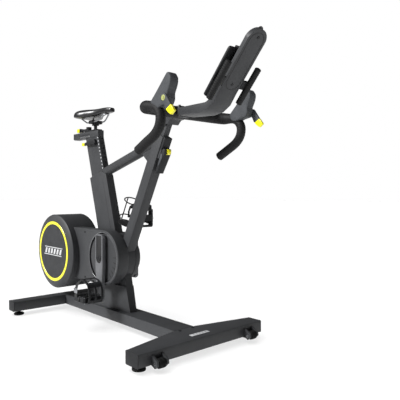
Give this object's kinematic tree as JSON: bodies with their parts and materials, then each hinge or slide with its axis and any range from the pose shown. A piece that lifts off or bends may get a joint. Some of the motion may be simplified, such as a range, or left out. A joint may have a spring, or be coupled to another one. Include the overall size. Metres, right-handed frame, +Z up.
{
  "type": "exercise bike",
  "caption": "Indoor exercise bike with an enclosed belt-driven flywheel, adjustable saddle, drop handlebar, shift levers and a tablet console on a floor frame.",
  "frame": {"origin": "centre of the overall box at floor level, midway between the front and rear extremes", "axes": "+X to the front of the bike, +Y to the rider's left, +Z up"},
  "size_m": [1.3995, 0.644, 1.1309],
  "materials": {
    "frame_paint": "satin charcoal powder coat",
    "cover_plastic": "fine textured moulding",
    "ring_yellow": "bright yellow accent",
    "accent_yellow": "bright yellow accent",
    "dark_plastic": "textured black",
    "console_shell": "satin charcoal",
    "hood_grey": "dark grey",
    "crank_paint": "satin grey",
    "bar_wrap": "textured grip",
    "rubber": "moulded",
    "steel": "brushed",
    "cast_iron": "machined",
    "wire_black": "black coated wire",
    "saddle_cover": "synthetic leather cover",
    "screen": "dark screen"
  },
  "bodies": {
    "frame": {"base_beam": "frame_paint", "front_foot": "frame_paint", "rear_foot": "frame_paint", "levelling_foot_front_right": "rubber", "levelling_foot_front_left": "rubber", "levelling_foot_rear_right": "rubber", "levelling_foot_rear_left": "rubber", "frame_hub": "frame_paint", "pedestal": "frame_paint", "seat_column": "frame_paint", "top_tube": "frame_paint", "front_column": "frame_paint", "rear_stay": "frame_paint", "flywheel_axle": "steel", "drive_cover_right": "cover_plastic", "drive_cover_left": "cover_plastic", "flywheel_cap": "cover_plastic", "flywheel_cap_ring": "ring_yellow", "flywheel_cap_disc": "dark_plastic", "crank_bearing_cartridge": "steel", "drive_belt": "rubber", "brake_magnet": "dark_plastic", "bottle_cage": "wire_black"},
    "crank": {"crank_axle": "steel", "crank_pulley": "cast_iron", "crank_disc": "cover_plastic", "crank_arm_right": "crank_paint", "crank_arm_left": "crank_paint"},
    "pedal_right": {"pedal_body_right": "dark_plastic", "toe_cage_right": "dark_plastic"},
    "pedal_left": {"pedal_body_left": "dark_plastic", "toe_cage_left": "dark_plastic"},
    "flywheel": {"flywheel": "cast_iron"},
    "seat_mast": {"seat_post": "frame_paint", "saddle_block": "frame_paint"},
    "saddle_carriage": {"saddle_slider": "dark_plastic", "saddle_rails": "steel", "saddle_clamp": "dark_plastic", "saddle": "saddle_cover"},
    "fore_aft_lever": {"fore_aft_lever": "dark_plastic"},
    "seat_height_lever": {"seat_height_lever": "dark_plastic"},
    "bar_mast": {"handlebar_post": "frame_paint", "stem": "frame_paint", "handlebar": "bar_wrap", "hood_right": "hood_grey", "hood_left": "hood_grey", "console_arm": "console_shell", "tablet": "screen", "tablet_holder": "dark_plastic", "side_grip_right": "bar_wrap", "side_grip_left": "bar_wrap"},
    "brake_lever_right": {"brake_lever_right": "hood_grey"},
    "brake_lever_left": {"brake_lever_left": "hood_grey"},
    "shift_button_right": {"shift_button_right": "accent_yellow"},
    "shift_button_left": {"shift_button_left": "accent_yellow"},
    "tablet_clip": {"tablet_clip": "dark_plastic"},
    "column_lever": {"column_lever": "dark_plastic"},
    "transport_wheel_right": {"transport_wheel_right": "rubber"},
    "transport_wheel_left": {"transport_wheel_left": "rubber"}
  },
  "joints": [
    {"name": "crank_spin", "type": "hinge", "parent": "frame", "child": "crank", "pos_m": [-0.12382, 0, 0.303], "axis": [0, 1, 0], "continuous": true},
    {"name": "flywheel_spin", "type": "hinge", "parent": "frame", "child": "flywheel", "pos_m": [-0.51582, 0, 0.299], "axis": [0, 1, 0], "continuous": true},
    {"name": "pedal_right_spin", "type": "hinge", "parent": "crank", "child": "pedal_right", "pos_m": [-0.12382, -0.157, 0.133], "axis": [0, 1, 0], "continuous": true},
    {"name": "pedal_left_spin", "type": "hinge", "parent": "crank", "child": "pedal_left", "pos_m": [-0.12382, 0.157, 0.473], "axis": [0, 1, 0], "continuous": true},
    {"name": "seat_height", "type": "slide", "parent": "frame", "child": "seat_mast", "axis": [-0.2812, 0, 0.9597], "range_m": [-0.1, 0.08]},
    {"name": "saddle_fore_aft", "type": "slide", "parent": "seat_mast", "child": "saddle_carriage", "axis": [1, 0, 0], "range_m": [-0.04, 0.04]},
    {"name": "fore_aft_lever_turn", "type": "hinge", "parent": "saddle_carriage", "child": "fore_aft_lever", "pos_m": [-0.36782, 0, 0.909], "axis": [0, 0, 1], "range_deg": [0, 60]},
    {"name": "seat_height_lever_lift", "type": "hinge", "parent": "seat_mast", "child": "seat_height_lever", "pos_m": [-0.27582, -0.024, 0.837], "axis": [0, 1, 0], "range_deg": [-14, 0], "stiffness_Nm_per_rad": 0.5, "springref_deg": 11.46},
    {"name": "handlebar_height", "type": "slide", "parent": "frame", "child": "bar_mast", "axis": [0.454, 0, 0.891], "range_m": [-0.035, 0.09]},
    {"name": "column_lever_turn", "type": "hinge", "parent": "frame", "child": "column_lever", "pos_m": [0.22154, 0, 0.76417], "axis": [0, -1, 0], "range_deg": [0, 70]},
    {"name": "brake_lever_right_pull", "type": "hinge", "parent": "bar_mast", "child": "brake_lever_right", "pos_m": [0.47418, -0.227, 0.906], "axis": [0, 1, 0], "range_deg": [0, 15], "stiffness_Nm_per_rad": 2, "springref_deg": -5.73},
    {"name": "brake_lever_left_pull", "type": "hinge", "parent": "bar_mast", "child": "brake_lever_left", "pos_m": [0.47418, 0.227, 0.906], "axis": [0, 1, 0], "range_deg": [0, 15], "stiffness_Nm_per_rad": 2, "springref_deg": -5.73},
    {"name": "shift_button_right_press", "type": "slide", "parent": "brake_lever_right", "child": "shift_button_right", "axis": [0, 1, 0], "range_m": [0, 0.002], "stiffness_N_per_m": 500, "springref_m": -0.001},
    {"name": "shift_button_left_press", "type": "slide", "parent": "brake_lever_left", "child": "shift_button_left", "axis": [0, -1, 0], "range_m": [0, 0.002], "stiffness_N_per_m": 500, "springref_m": -0.001},
    {"name": "tablet_clip_lift", "type": "slide", "parent": "bar_mast", "child": "tablet_clip", "axis": [0.6428, 0, 0.766], "range_m": [0, 0.02], "stiffness_N_per_m": 200, "springref_m": -0.01},
    {"name": "transport_wheel_right_roll", "type": "hinge", "parent": "frame", "child": "transport_wheel_right", "pos_m": [0.46718, -0.236, 0.03], "axis": [0, 1, 0], "continuous": true},
    {"name": "transport_wheel_left_roll", "type": "hinge", "parent": "frame", "child": "transport_wheel_left", "pos_m": [0.46718, 0.236, 0.03], "axis": [0, 1, 0], "continuous": true}
  ],
  "couplings": [
    {"joint": "flywheel_spin", "follows": "crank_spin", "ratio": 3.5417}
  ]
}
